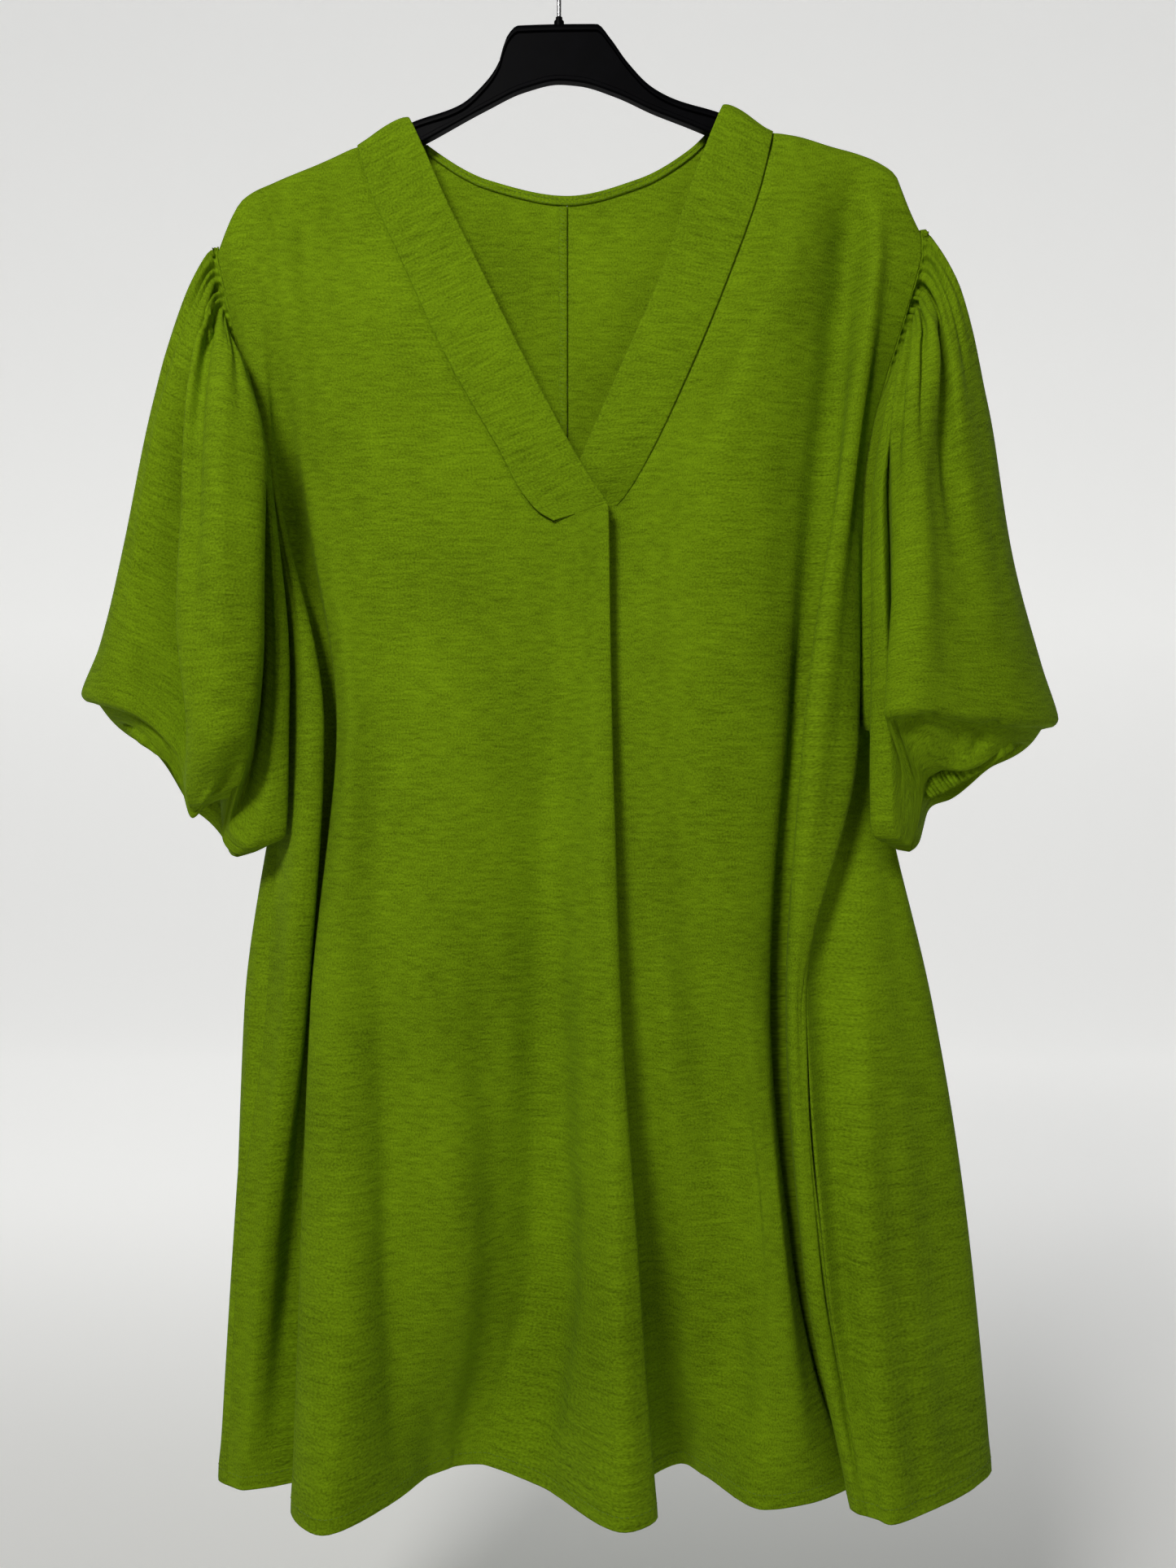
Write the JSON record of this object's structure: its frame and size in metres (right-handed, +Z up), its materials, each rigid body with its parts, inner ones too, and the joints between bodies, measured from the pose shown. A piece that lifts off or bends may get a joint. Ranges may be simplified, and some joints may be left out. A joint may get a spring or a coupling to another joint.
{
  "type": "puff-sleeve blouse on a hanger",
  "caption": "Green crepe blouse with a V neck, full puff sleeves gathered into elastic cuffs and a flared body, hung on a black plastic hanger with a wire hook.",
  "frame": {"origin": "inside of the hook's top, where a rod carries the hanger", "axes": "+Z up, -Y towards the front of the blouse, +X to the right as seen from the front"},
  "size_m": [0.619, 0.13, 0.9819],
  "materials": {
    "green_crepe": "matte crepe",
    "green_crepe_band": "matte crepe",
    "black_plastic": "satin",
    "steel_wire": "polished"
  },
  "bodies": {
    "root": {"front": "green_crepe", "back_left": "green_crepe", "back_right": "green_crepe", "neck_band_left": "green_crepe_band", "neck_band_right": "green_crepe_band", "back_neck_binding": "green_crepe", "sleeve_left": "green_crepe", "sleeve_right": "green_crepe", "cuff_left": "green_crepe_band", "cuff_right": "green_crepe_band", "hanger_body": "black_plastic", "hanger_hook": "steel_wire"}
  },
  "joints": []
}
